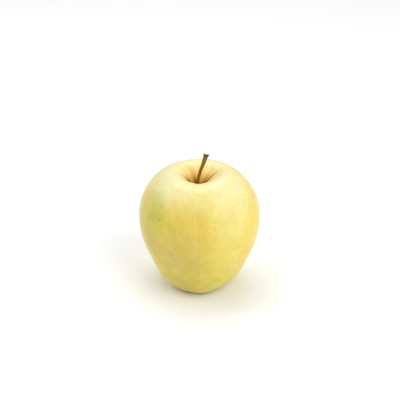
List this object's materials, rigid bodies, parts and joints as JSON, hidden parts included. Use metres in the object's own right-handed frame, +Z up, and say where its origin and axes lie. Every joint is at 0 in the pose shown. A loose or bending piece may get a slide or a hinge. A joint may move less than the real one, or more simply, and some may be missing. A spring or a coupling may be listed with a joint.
{
  "type": "apple",
  "caption": "Whole yellow apple standing on the lobes round its calyx, with a curved woody stem in a funnel-shaped cavity, to eat, slice or fill a bowl.",
  "frame": {"origin": "on the surface that the fruit stands on, under the middle of the fruit's box", "axes": "+Z up along the fruit's axis towards the stem, -Y towards the viewer, +X the way the stem leans"},
  "size_m": [0.0758, 0.0742, 0.0917],
  "materials": {
    "skin": "smooth waxy pale yellow fruit skin, soft gloss",
    "stem": "dry brown woody stalk, matt",
    "calyx": "dried grey-brown sepals, matt"
  },
  "bodies": {
    "root": {"fruit": "skin", "stem": "stem", "calyx": "calyx"}
  },
  "joints": []
}
